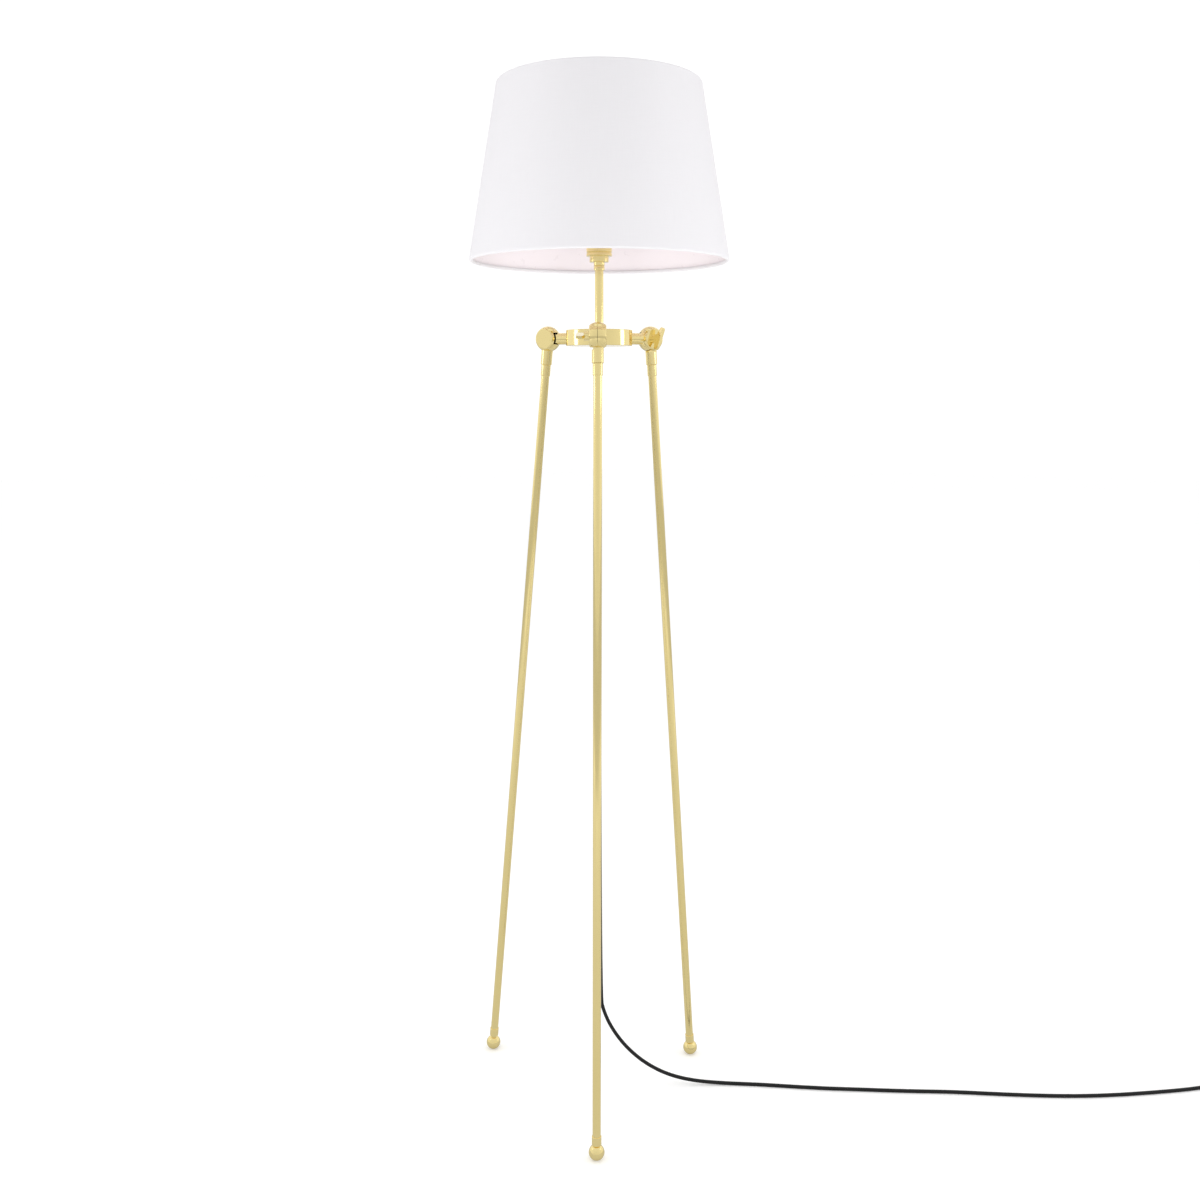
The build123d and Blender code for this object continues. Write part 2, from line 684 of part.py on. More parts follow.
with BuildPart() as shade_carrier:
    with BuildSketch(Plane.XY.offset(carrier_base)):
        Circle(carrier_ring_radius)
        Circle(skirt_radius + clearance, mode=Mode.SUBTRACT)
    extrude(amount=carrier_ring_thickness)
    disc(Plane.XY.offset(carrier_top), carrier_plate_radius, carrier_plate_thickness)
    disc(Plane.XY.offset(carrier_top), carrier_post_radius, carrier_plate_thickness + carrier_post_length)
    for hand in (-1, 1):
        ring_middle = carrier_base + carrier_ring_thickness / 2
        plate_weld = carrier_top + carrier_weld_height
        wire_start = (hand * (carrier_ring_radius - wire_overlap), 0, ring_middle)
        with BuildLine() as carrier_route:
            FilletPolyline(
                wire_start,
                (hand * (carrier_ring_radius + carrier_lead_out), 0, ring_middle),
                (hand * carrier_half_width, 0, carrier_base + carrier_shoulder),
                (hand * carrier_half_width, 0, carrier_top - carrier_crown),
                (hand * carrier_crown_reach, 0, carrier_top - carrier_crown_drop),
                (hand * carrier_plate_radius / 2, 0, plate_weld),
                radius=carrier_bend,
            )
        with BuildSketch(Plane(origin=wire_start, z_dir=(hand, 0, 0))):
            Circle(carrier_wire_radius)
        sweep(path=carrier_route.line)
    disc(Plane.XY.offset(upper_ring), shade_ring_radius + clearance, shade_ring_height, Mode.SUBTRACT)
    disc(Plane.XY.offset(lower_ring), shade_ring_radius + clearance, shade_ring_height, Mode.SUBTRACT)
save(shade_carrier.part, "shade_carrier")

spider_base = carrier_top + carrier_plate_thickness
with BuildPart() as shade_spider:
    disc(Plane.XY.offset(spider_base), carrier_plate_radius, carrier_plate_thickness)
    spoke_start = spider_base + spider_spoke_radius + clearance
    spoke_reach = shade_radius(top_wire_height, wire_inset)
    for turn in (90, 210, 330):
        heading = Vector(cos(radians(turn)), sin(radians(turn)), 0)
        inner_end = heading * (carrier_plate_radius - wire_overlap) + Vector(0, 0, spoke_start)
        outer_end = heading * spoke_reach + Vector(0, 0, top_wire_height)
        spoke_plane = Plane(origin=inner_end, z_dir=outer_end - inner_end)
        disc(spoke_plane, spider_spoke_radius, (outer_end - inner_end).length)
    spider_hole = carrier_post_radius + clearance
    disc(Plane.XY.offset(spider_base), spider_hole, carrier_plate_thickness, Mode.SUBTRACT)
save(shade_spider.part, "shade_spider")

with BuildPart() as finial:
    finial_base = spider_base + carrier_plate_thickness
    turned([
        (0, finial_base),
        (finial_radius, finial_base),
        (finial_radius, finial_base + finial_base_height),
        (finial_waist[0], finial_base + finial_waist[1]),
        (finial_knob[0], finial_base + finial_knob[1]),
        (finial_crown_radius, finial_base + finial_height),
        (0, finial_base + finial_height),
    ])
    post_depth = carrier_post_length - carrier_plate_thickness
    disc(Plane.XY.offset(finial_base), carrier_post_radius + clearance, post_depth, Mode.SUBTRACT)
save(finial.part, "finial")

# --------------------------------------------------------------------------------------------- cord
floor_points = [(x, y, cord_on_floor) for x, y in cord_floor]
main_length = cord_tube(cord_hang + cord_drop + floor_points + cord_to_switch + [switch_entry], "cord_main")
tail_length = cord_tube([switch_exit] + tail_points + [coil_start], "cord_tail")
lead_length = cord_tube([coil_end] + lead_points + [(plug_tail, *plug_axis)], "cord_lead")
coil_length = coil_turns * sqrt((2 * pi * coil_radius) ** 2 + (2 * cord_radius) ** 2)
cord_length = main_length + tail_length + lead_length + coil_length + 2 * nose_tip
print(f"cord: coil {coil_length:.0f}, whole cord with the stretch in the switch {cord_length:.0f}")

with BuildPart() as cord_coil:
    with BuildSketch(Plane.XY):
        with Locations(coil_centre):
            Circle(coil_radius + cord_radius)
            Circle(coil_radius - cord_radius, mode=Mode.SUBTRACT)
    extrude(amount=coil_height + 2 * cord_radius)
    fillet(cord_coil.edges().filter_by(GeomType.CIRCLE), coil_edge_round)
save(cord_coil.part, "cord_coil")

# -------------------------------------------------------------------------------------- foot switch
def switch_outline(inset):
    """The switch's plan, a rounded slot shape, set in from its outer face."""
    with Locations(switch_centre):
        SlotOverall(switch_length - 2 * inset, switch_width - 2 * inset)


cover_base = switch_base_height
switch_top = switch_base_height + switch_cover_height
screw_spots = [(switch_centre[0] + hand * switch_screw_offset, switch_centre[1]) for hand in (-1, 1)]

with BuildPart() as switch_base:
    with BuildSketch(Plane.XY):
        switch_outline(0)
    extrude(amount=switch_base_height)
    fillet(switch_base.faces().sort_by(Axis.Z)[0].edges(), switch_foot_round)
    with BuildSketch(Plane.XY.offset(switch_wall)):
        switch_outline(switch_wall)
        with Locations(*screw_spots):
            Circle(switch_post_radius, mode=Mode.SUBTRACT)
    extrude(amount=switch_base_height, mode=Mode.SUBTRACT)
    for end, hand in ((switch_entry, 1), (switch_exit, -1)):
        nose_plane = Plane(origin=end, z_dir=(hand, 0, 0))
        disc(nose_plane, switch_nose_radius, switch_nose_length + switch_wall / 2)
    with BuildSketch(Plane.XY):
        with Locations(*screw_spots):
            Circle(switch_screw_radius + clearance)
    extrude(amount=switch_base_height, mode=Mode.SUBTRACT)
    with BuildSketch(Plane.XY):
        with Locations(*screw_spots):
            Circle(switch_screw_head_radius + clearance)
    extrude(amount=switch_wall / 2, mode=Mode.SUBTRACT)
save(switch_base.part, "switch_base")

with BuildPart() as switch_cover:
    with BuildSketch(Plane.XY.offset(cover_base)):
        switch_outline(0)
    extrude(amount=switch_cover_height)
    fillet(switch_cover.faces().sort_by(Axis.Z)[-1].edges(), switch_top_round)
    with BuildSketch(Plane.XY.offset(cover_base)):
        switch_outline(switch_wall)
        with Locations(*screw_spots):
            Circle(switch_post_radius, mode=Mode.SUBTRACT)
    extrude(amount=switch_cover_height - switch_wall, mode=Mode.SUBTRACT)
    with BuildSketch(Plane.XY.offset(cover_base)):
        with Locations(switch_centre):
            Circle(switch_button_radius + switch_button_gap)
    extrude(amount=switch_cover_height, mode=Mode.SUBTRACT)
    with BuildSketch(Plane.XY.offset(cover_base)):
        with Locations(*screw_spots):
            Circle(switch_screw_radius)
    extrude(amount=switch_cover_height / 2, mode=Mode.SUBTRACT)
save(switch_cover.part, "switch_cover")

with BuildPart() as switch_screws:
    with BuildSketch(Plane.XY.offset(clearance)):
        with Locations(*screw_spots):
            Circle(switch_screw_head_radius)
    extrude(amount=switch_wall / 2 - clearance)
    with BuildSketch(Plane.XY.offset(clearance)):
        with Locations(*screw_spots):
            Circle(switch_screw_radius - clearance)
    extrude(amount=switch_base_height + switch_cover_height / 2 - switch_screw_spare)
save(switch_screws.part, "switch_screws")

block_top = switch_wall + switch_block_size[2]
with BuildPart() as switch_block:
    with BuildSketch(Plane.XY.offset(switch_wall)):
        with Locations(switch_centre):
            Rectangle(switch_block_size[0], switch_block_size[1])
    extrude(amount=switch_block_size[2])
save(switch_block.part, "switch_block")

with BuildPart() as switch_button:
    button_base = block_top + switch_button_travel + switch_button_stop
    with BuildSketch(Plane.XY.offset(button_base)):
        with Locations(switch_centre):
            Circle(switch_button_radius)
    extrude(amount=switch_top + switch_button_rise - button_base)
    fillet(switch_button.faces().sort_by(Axis.Z)[-1].edges(), switch_button_round)
save(switch_button.part, "switch_button")

# --------------------------------------------------------------------------------------------- plug
plug_plane = Plane(origin=(plug_face, *plug_axis), x_dir=(0, 1, 0), z_dir=(-1, 0, 0))

with BuildPart() as plug_body:
    with BuildSketch(plug_plane):
        RectangleRounded(plug_width, plug_height, plug_corner)
    extrude(amount=plug_front_length)
    with BuildSketch(plug_plane.offset(plug_front_length)):
        RectangleRounded(plug_width, plug_height, plug_corner)
    with BuildSketch(plug_plane.offset(plug_front_length + plug_taper_length)):
        RectangleRounded(plug_back_size, plug_back_size, plug_back_size / 3)
    loft()
    with BuildSketch(plug_plane):
        with GridLocations(plug_pin_spacing, 0, 2, 1):
            Circle(plug_shank_radius)
    extrude(amount=plug_shank_length, mode=Mode.SUBTRACT)
save(plug_body.part, "plug_body")

with BuildPart() as plug_pins:
    with BuildSketch(plug_plane.offset(plug_shank_length)):
        with GridLocations(plug_pin_spacing, 0, 2, 1):
            Circle(plug_shank_radius)
    extrude(amount=-plug_shank_length)
    with BuildSketch(plug_plane):
        with GridLocations(plug_pin_spacing, 0, 2, 1):
            Circle(plug_pin_radius)
    extrude(amount=-plug_pin_length)
    chamfer(plug_pins.faces().sort_by(Axis.X)[-2:].edges(), plug_pin_chamfer)
save(plug_pins.part, "plug_pins")

with BuildPart() as plug_relief:
    relief_base = Plane(origin=(plug_back, *plug_axis), x_dir=(0, 1, 0), z_dir=(-1, 0, 0))
    with BuildSketch(relief_base):
        Circle(plug_relief_radius)
    with BuildSketch(relief_base.offset(plug_relief_length)):
        Circle(relief_tip_radius)
    loft()
save(plug_relief.part, "plug_relief")
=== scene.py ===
from math import atan2, cos, hypot, pi, radians, sin, tau

import bmesh
import bpy
from mathutils import Matrix, Vector


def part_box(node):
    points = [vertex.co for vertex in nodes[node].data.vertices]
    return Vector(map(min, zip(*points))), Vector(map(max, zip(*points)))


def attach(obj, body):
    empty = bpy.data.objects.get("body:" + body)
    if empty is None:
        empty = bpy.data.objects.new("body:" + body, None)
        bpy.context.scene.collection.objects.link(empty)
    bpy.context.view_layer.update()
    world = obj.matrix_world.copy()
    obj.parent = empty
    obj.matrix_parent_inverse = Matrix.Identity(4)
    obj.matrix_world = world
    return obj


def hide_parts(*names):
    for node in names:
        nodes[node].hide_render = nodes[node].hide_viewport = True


# Tripod floor lamp, in metres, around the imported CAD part. The origin is on the floor under the stem, the
# front leg stands towards -Y and the cord runs off to +X.

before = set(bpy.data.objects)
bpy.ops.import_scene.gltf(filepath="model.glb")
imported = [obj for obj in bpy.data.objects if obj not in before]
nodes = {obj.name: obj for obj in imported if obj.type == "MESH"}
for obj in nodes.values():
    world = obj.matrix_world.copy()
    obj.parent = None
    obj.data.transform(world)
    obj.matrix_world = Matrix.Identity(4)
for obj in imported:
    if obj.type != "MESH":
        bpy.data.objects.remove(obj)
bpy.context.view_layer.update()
sides = ("front", "right", "left")

MM = 0.001
UP = Vector((0, 0, 1))

# ------------------------------------------------------------------------------------------- camera
camera_place = (0.0012, -1.7479, 1.1592)
camera_pitch = radians(-10.754)
camera_focal_length = 34.555

camera_data = bpy.data.cameras.new("camera")
camera_data.lens = camera_focal_length
camera = bpy.data.objects.new("camera", camera_data)
camera.location = camera_place
camera.rotation_euler = (pi / 2 + camera_pitch, 0, 0)
bpy.context.scene.collection.objects.link(camera)
bpy.context.scene.camera = camera


# ---------------------------------------------------------------------------------- measures from CAD
def middle(node):
    """The middle of a CAD node's box."""
    low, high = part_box(node)
    return (low + high) / 2


def reach(node, height):
    """How far a CAD node reaches from the vertical axis at a height that some of its corners have."""
    corners = [v.co for v in nodes[node].data.vertices if abs(v.co.z - height) < 0.01 * MM]
    return max(hypot(corner.x, corner.y) for corner in corners)


# --------------------------------------------------------------------------------- materials: helpers
def new_material(name, **sockets):
    """A Principled material. The plain values are set on the shader's own sockets."""
    material = bpy.data.materials.new(name)
    material.use_nodes = True
    shader = material.node_tree.nodes["Principled BSDF"]
    for socket, value in sockets.items():
        shader.inputs[socket.replace("_", " ")].default_value = value
    return material, material.node_tree, shader


def add(tree, kind, sockets=None, **settings):
    """A node with its settings, and with its inputs linked to other nodes' outputs or set to values."""
    made = tree.nodes.new(kind)
    for setting, value in settings.items():
        setattr(made, setting, value)
    for socket, value in (sockets or {}).items():
        if isinstance(value, bpy.types.NodeSocket):
            tree.links.new(value, made.inputs[socket])
        else:
            made.inputs[socket].default_value = value
    return made


def position(tree):
    """The point on the surface, in the piece's own rest frame."""
    return add(tree, "ShaderNodeTexCoord").outputs["Object"]


def maths(tree, operation, *values):
    """A Math node on outputs or numbers."""
    return add(tree, "ShaderNodeMath", dict(enumerate(values)), operation=operation).outputs[0]


def vectors(tree, operation, *values):
    """A Vector Math node on outputs or vectors."""
    made = add(tree, "ShaderNodeVectorMath", dict(enumerate(values)), operation=operation)
    return made.outputs["Value" if operation in ("DOT_PRODUCT", "LENGTH") else "Vector"]


def scaled(tree, vector, scale):
    """A vector times a number or an output."""
    made = add(tree, "ShaderNodeVectorMath", {0: vector, "Scale": scale}, operation="SCALE")
    return made.outputs["Vector"]


def noise(tree, vector, scale, detail=3.0):
    """Soft noise from 0 to 1."""
    made = add(tree, "ShaderNodeTexNoise", {"Vector": vector, "Scale": scale, "Detail": detail})
    return made.outputs["Fac"]


def between(tree, factor, low, high):
    """A number that goes from low to high as the factor goes over the middle of its range."""
    sockets = {"Value": factor, "From Min": 0.3, "From Max": 0.7, "To Min": low, "To Max": high}
    return add(tree, "ShaderNodeMapRange", sockets).outputs["Result"]


def blend_colours(tree, factor, low, high):
    """A colour between two plain colours."""
    sockets = {"Factor": factor, 6: (*low, 1), 7: (*high, 1)}
    return add(tree, "ShaderNodeMix", sockets, data_type="RGBA").outputs[2]


def bump(tree, height, distance, strength=1.0, normal=None):
    """A bumped normal: height from 0 to 1 raises the surface by distance."""
    sockets = {"Height": height, "Distance": distance, "Strength": strength}
    if normal is not None:
        sockets["Normal"] = normal
    return add(tree, "ShaderNodeBump", sockets).outputs["Normal"]


def around(tree):
    """Angle about the lamp's axis, and height."""
    parts = add(tree, "ShaderNodeSeparateXYZ", {0: position(tree)}).outputs
    return maths(tree, "ARCTAN2", parts["Y"], parts["X"]), parts["Z"]


# ------------------------------------------------------------------------------------ materials: brass
brass_light = (0.945, 0.79, 0.375)
brass_deep = (0.915, 0.755, 0.335)
mark_scales = {"along": 2600.0, "around": 3200.0, "cast": 420.0}
mark_stretch = 0.015
handling_scale = 38.0
lacquer_scale = 9.0


def brass(name, origin, axis, lines):
    """Polished, lacquered brass. Lines are fine marks along the axis, around it, or polished out ("cast")."""
    material, tree, shader = new_material(name, Metallic=1.0, Coat_Weight=0.25, Coat_Roughness=0.06)
    place = vectors(tree, "SUBTRACT", position(tree), tuple(origin))
    height = vectors(tree, "DOT_PRODUCT", place, tuple(axis))
    off_axis = vectors(tree, "SUBTRACT", place, scaled(tree, tuple(axis), height))
    if lines == "along":
        slowed = maths(tree, "MULTIPLY", height, mark_stretch)
        grain = vectors(tree, "ADD", off_axis, scaled(tree, tuple(axis), slowed))
    elif lines == "around":
        distance = vectors(tree, "LENGTH", off_axis)
        grain = add(tree, "ShaderNodeCombineXYZ", {"X": distance, "Y": height}).outputs[0]
    else:
        grain = place
    marks = noise(tree, grain, mark_scales[lines], 2.0)
    handling = noise(tree, place, handling_scale, 4.0)
    lacquer = noise(tree, place, lacquer_scale, 2.0)
    tree.links.new(blend_colours(tree, lacquer, brass_deep, brass_light), shader.inputs["Base Color"])
    smear = between(tree, handling, 0.10, 0.165)
    streak = between(tree, marks, -0.012, 0.02)
    tree.links.new(maths(tree, "ADD", smear, streak), shader.inputs["Roughness"])
    tree.links.new(bump(tree, marks, 0.004 * MM, 0.35), shader.inputs["Normal"])
    return material


def leg_axis(side):
    """A point on a leg's axis and the direction down it."""
    upper = middle(f"leg_sleeve_{side}")
    return upper, (middle(f"leg_ferrule_{side}") - upper).normalized()


# ------------------------------------------------------------------------ materials: soft and moulded
def woven(name, pale, dark, yarn, translucence):
    """A plain weave round the lamp's axis, with slubs, in a cloth that lets some light through."""
    mean_radius = 0.168
    stretch = 0.06
    slub_scale = 0.35 / yarn
    material, tree, shader = new_material(name, Roughness=0.85, Sheen_Weight=0.12, Sheen_Roughness=0.5)
    shader.inputs["Specular IOR Level"].default_value = 0.25
    angle, height = around(tree)
    round_it = maths(tree, "MULTIPLY", angle, mean_radius)
    short_round = maths(tree, "MULTIPLY", round_it, stretch)
    short_height = maths(tree, "MULTIPLY", height, stretch)
    weft_place = add(tree, "ShaderNodeCombineXYZ", {"X": short_round, "Y": height})
    warp_place = add(tree, "ShaderNodeCombineXYZ", {"X": round_it, "Y": short_height})
    slub = noise(tree, weft_place.outputs[0], slub_scale, 3.0)
    pick = noise(tree, warp_place.outputs[0], slub_scale, 3.0)
    weft = maths(tree, "SINE", maths(tree, "MULTIPLY", height, tau / yarn))
    warp = maths(tree, "SINE", maths(tree, "MULTIPLY", round_it, tau / yarn))
    over = maths(tree, "MULTIPLY", weft, warp)
    cloth = maths(tree, "ADD", maths(tree, "MULTIPLY", over, 0.25), maths(tree, "ADD", slub, pick))
    tone = maths(tree, "MULTIPLY", maths(tree, "ADD", slub, pick), 0.5)
    colour = blend_colours(tree, tone, dark, pale)
    tree.links.new(colour, shader.inputs["Base Color"])
    normal = bump(tree, cloth, 0.12 * MM, 0.55)
    tree.links.new(normal, shader.inputs["Normal"])
    through = add(tree, "ShaderNodeBsdfTranslucent", {"Color": colour, "Normal": normal})
    both = add(tree, "ShaderNodeMixShader", {0: translucence, 1: shader.outputs[0], 2: through.outputs[0]})
    tree.links.new(both.outputs[0], tree.nodes["Material Output"].inputs["Surface"])
    return material


def moulded(name, colour, roughness, grain, depth, mottle=0.86, **sockets):
    """Moulded plastic, rubber or paint: a fine grain, and a colour and gloss uneven by the mottle."""
    material, tree, shader = new_material(name, **sockets)
    place = position(tree)
    tone = noise(tree, place, 45.0, 3.0)
    dark = tuple(mottle * channel for channel in colour)
    tree.links.new(blend_colours(tree, tone, dark, colour), shader.inputs["Base Color"])
    gloss = between(tree, noise(tree, place, 120.0, 3.0), roughness * mottle, roughness * (2 - mottle))
    tree.links.new(gloss, shader.inputs["Roughness"])
    tree.links.new(bump(tree, noise(tree, place, grain, 4.0), depth, 0.6), shader.inputs["Normal"])
    return material


def plated(name, colour, roughness, **sockets):
    """Plated steel with fine wiping marks."""
    material, tree, shader = new_material(name, Metallic=1.0, **sockets)
    place = position(tree)
    dark = tuple(0.92 * channel for channel in colour)
    tree.links.new(blend_colours(tree, noise(tree, place, 60.0), dark, colour), shader.inputs["Base Color"])
    gloss = between(tree, noise(tree, place, 400.0, 4.0), roughness * 0.8, roughness * 1.3)
    tree.links.new(gloss, shader.inputs["Roughness"])
    tree.links.new(bump(tree, noise(tree, place, 1500.0), 0.004 * MM, 0.5), shader.inputs["Normal"])
    return material


shade_cloth_material = woven("shade_cloth", (0.882, 0.869, 0.892), (0.835, 0.822, 0.845), 0.55 * MM, 0.12)
liner_material = moulded("shade_liner", (0.93, 0.873, 0.902), 0.28, 1500.0, 0.003 * MM, 0.975)
white_enamel = moulded("white_enamel", (0.86, 0.86, 0.84), 0.3, 500.0, 0.01 * MM, 0.96, Coat_Weight=0.3)
flex_material = moulded("black_flex", (0.006, 0.006, 0.0062), 0.5, 700.0, 0.03 * MM, Specular_IOR_Level=0.3)
black_plastic = moulded("black_plastic", (0.022, 0.022, 0.023), 0.42, 1100.0, 0.05 * MM)
black_button = moulded("black_button", (0.03, 0.03, 0.031), 0.22, 300.0, 0.01 * MM)
nickel = plated("nickel", (0.74, 0.72, 0.68), 0.16)
zinc = plated("zinc_steel", (0.62, 0.62, 0.63), 0.3)
ceramic = moulded("ceramic", (0.87, 0.86, 0.82), 0.15, 90.0, 0.03 * MM, Coat_Weight=0.5)
fibre = moulded("fibre_washer", (0.16, 0.10, 0.065), 0.8, 900.0, 0.06 * MM)
opal_glass = moulded("opal_glass", (0.95, 0.95, 0.94), 0.3, 80.0, 0.01 * MM, 0.98, Coat_Weight=0.4)


# ------------------------------------------------------------------------------------- shapes: helpers
crisp_edge = radians(35)
eased_edge = radians(30)
eased_crease = radians(40)
near_axis = 0.0001 * MM


def placed(name, data, body):
    """An object for a mesh, riding on a body."""
    piece = bpy.data.objects.new(name, data)
    bpy.context.scene.collection.objects.link(piece)
    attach(piece, body)
    return piece


def new_piece(name, vertices, faces, material, body):
    """A mesh piece. Edges sharper than crisp_edge stay crisp, and the rest are smooth."""
    mesh = bpy.data.meshes.new(name)
    shape = bmesh.new()
    corners = [shape.verts.new(vertex) for vertex in vertices]
    for face in faces:
        shape.faces.new([corners[i] for i in face])
    bmesh.ops.remove_doubles(shape, verts=shape.verts, dist=0.001 * MM)
    bmesh.ops.recalc_face_normals(shape, faces=shape.faces)
    for face in shape.faces:
        face.smooth = True
    for edge in shape.edges:
        edge.smooth = edge.calc_face_angle(0) < crisp_edge
    shape.to_mesh(mesh)
    shape.free()
    mesh.materials.append(material)
    return placed(name, mesh, body)


def frame_on(origin, direction):
    """The matrix of a local frame whose z axis is the direction, at the origin."""
    z = Vector(direction).normalized()
    across = (0, 1, 0) if abs(z.x) > abs(z.y) else (1, 0, 0)
    y = z.cross(Vector(across)).normalized()
    x = y.cross(z)
    turn = Matrix((x, y, z)).transposed().to_4x4()
    return Matrix.Translation(origin) @ turn


def lathe(name, profile, material, body, place=None, steps=96, closed=True):
    """Turns a profile of (radius, height) points about the place's z axis. A closed one joins its ends.

    The profile can also be a function that gives the points for an angle, for a thread or a knurl.
    """
    place = place or Matrix.Identity(4)
    outline = profile if callable(profile) else lambda turn: profile
    vertices = []
    for step in range(steps):
        turn = tau * step / steps
        vertices += [place @ Vector((r * cos(turn), r * sin(turn), h)) for r, h in outline(turn)]
    profile = outline(0)
    rows = len(profile)
    faces = []
    for step in range(steps):
        here, after = step * rows, (step + 1) % steps * rows
        for row in range(rows if closed else rows - 1):
            up = (row + 1) % rows
            corners = [here + row, here + up, after + up, after + row]
            if profile[row][0] < near_axis and profile[up][0] < near_axis:
                continue
            if profile[row][0] < near_axis:
                corners = corners[:3]
            elif profile[up][0] < near_axis:
                corners = [corners[0], corners[1], corners[3]]
            faces.append(corners)
    return new_piece(name, vertices, faces, material, body)


def rounded(points, radius, steps=4):
    """A closed profile with its corners rounded off, each by the radius or by what its runs allow."""
    out = []
    for i, here in enumerate(points):
        before, after = Vector(points[i - 1]), Vector(points[(i + 1) % len(points)])
        corner = Vector(here)
        run_in, run_out = corner - before, after - corner
        on_axis = abs(corner.x) < near_axis
        if on_axis or run_in.length < 1e-9 or run_out.length < 1e-9:
            out.append(tuple(corner))
            continue
        turn = run_in.angle(run_out)
        if turn < radians(8):
            out.append(tuple(corner))
            continue
        cut = min(radius * abs(sin(turn / 2) / cos(turn / 2)), 0.45 * run_in.length, 0.45 * run_out.length)
        start, end = corner - run_in.normalized() * cut, corner + run_out.normalized() * cut
        for step in range(steps + 1):
            t = step / steps
            out.append(tuple((1 - t) ** 2 * start + 2 * t * (1 - t) * corner + t * t * end))
    return out


def thread(radius, depth, pitch, low, high):
    """A function that gives a rounded screw thread's outline at an angle, from its low end to its high."""
    rows_per_turn = 8
    rows = round(rows_per_turn * (high - low) / pitch)

    def outline(turn):
        points = []
        for row in range(rows + 1):
            height = low + (high - low) * row / rows
            run_out = min(1, (height - low) / pitch, (high - height) / pitch)
            wave = 0.5 + 0.5 * cos(tau * (height - low) / pitch - turn)
            points.append((radius - depth * (1 - run_out * wave), height))
        return points

    return outline


def softened(node, width, material, body):
    """A piece in a CAD node's shape with its crisp edges eased. It stands in for the node."""
    source = nodes[node].data
    shape = bmesh.new()
    corners = [shape.verts.new(vertex.co) for vertex in source.vertices]
    for polygon in source.polygons:
        shape.faces.new([corners[i] for i in polygon.vertices])
    bmesh.ops.remove_doubles(shape, verts=shape.verts, dist=0.002 * MM)
    bmesh.ops.dissolve_limit(shape, angle_limit=radians(0.5), verts=shape.verts, edges=shape.edges)
    bmesh.ops.recalc_face_normals(shape, faces=shape.faces)
    crisp = [edge for edge in shape.edges if edge.calc_face_angle(0) > eased_edge]
    bmesh.ops.bevel(shape, geom=crisp, offset=width, segments=3, profile=0.5, affect="EDGES",
                    clamp_overlap=True)
    bmesh.ops.triangulate(shape, faces=[face for face in shape.faces if len(face.verts) > 4])
    for face in shape.faces:
        face.smooth = True
    for edge in shape.edges:
        edge.smooth = edge.calc_face_angle(0) < eased_crease
    name = f"eased_{node}"
    mesh = bpy.data.meshes.new(name)
    shape.to_mesh(mesh)
    shape.free()
    mesh.materials.append(material)
    piece = placed(name, mesh, body)
    weigh = piece.modifiers.new("flat faces", "WEIGHTED_NORMAL")
    weigh.keep_sharp = True
    weigh.weight = 100
    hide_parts(node)
    return piece


# ---------------------------------------------------------------------------------------------- cord
cord_diameter = 6 * MM
cord_rest = cord_diameter / 2
coil_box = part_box("cord_coil")
coil_centre = middle("cord_coil")
coil_radius = (coil_box[1].x - coil_box[0].x) / 2 - cord_rest
coil_turns = 3
coil_steps = 16
switch_low, switch_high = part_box("switch_base")
switch_cord_height = 6.2 * MM
plug_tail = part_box("plug_relief")[0].x
plug_middle = middle("plug_relief")
plug_grip = 3 * MM
relief_tip_radius = 4.2 * MM
relief_root_radius = 5.8 * MM
relief_low, relief_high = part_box("strain_relief")

cord_hang = [(0, 0, 1.1865), (0, 0, 0.166)]
cord_drop = [(0.009, 0, 0.128), (0.026, 0, 0.094), (0.050, 0, 0.063), (0.080, 0, 0.037)]
cord_drop += [(0.116, 0, 0.0175), (0.160, -0.0005, 0.0065)]
cord_floor = [(0.213, -0.0018), (0.268, -0.0052), (0.322, -0.011), (0.376, -0.016), (0.431, -0.019)]
cord_floor += [(0.508, -0.0235), (0.586, -0.0255), (0.662, -0.032), (0.737, -0.0365), (0.799, -0.037)]
cord_floor += [(0.859, -0.0335), (0.918, -0.027), (0.968, -0.0205), (1.003, -0.014)]
cord_to_switch = [(1.023, -0.0105, 0.0044), (1.0425, -0.008, switch_cord_height)]
cord_through_switch = [(end.x, -0.008, switch_cord_height) for end in (switch_low, switch_high)]
cord_tail = [(1.179, -0.008, switch_cord_height), (1.191, -0.0086, 0.0046), (1.203, -0.0085, cord_rest)]
cord_lead = [(1.226, -0.0078, 0.0206), (1.238, -0.007, 0.0182), (1.251, -0.0056, 0.0144)]
cord_lead += [(x, plug_middle.y, plug_middle.z) for x in (1.263, plug_tail + plug_grip)]


def coil_points():
    """The coil's turns, counter-clockwise from its side nearest -Y, each a cord's width above the last."""
    outward = coil_radius / cos(pi / coil_steps)
    points = []
    for step in range(coil_turns * coil_steps + 1):
        turn = tau * step / coil_steps - pi / 2
        height = cord_rest + cord_diameter * step / coil_steps
        points.append((coil_centre.x + outward * cos(turn), coil_centre.y + outward * sin(turn), height))
    return points


def round_cord(name, points, diameter, material):
    """One smooth cord along a route."""
    curve = bpy.data.curves.new(name, "CURVE")
    curve.dimensions = "3D"
    curve.bevel_depth = diameter / 2
    curve.bevel_resolution = 5
    curve.use_fill_caps = True
    spline = curve.splines.new("NURBS")
    spline.points.add(len(points) - 1)
    for point, place in zip(spline.points, points):
        point.co = (*place, 1)
    spline.order_u = 3
    spline.use_endpoint_u = True
    spline.resolution_u = 12
    curve.materials.append(material)
    cord = bpy.data.objects.new(name, curve)
    bpy.context.scene.collection.objects.link(cord)
    return cord


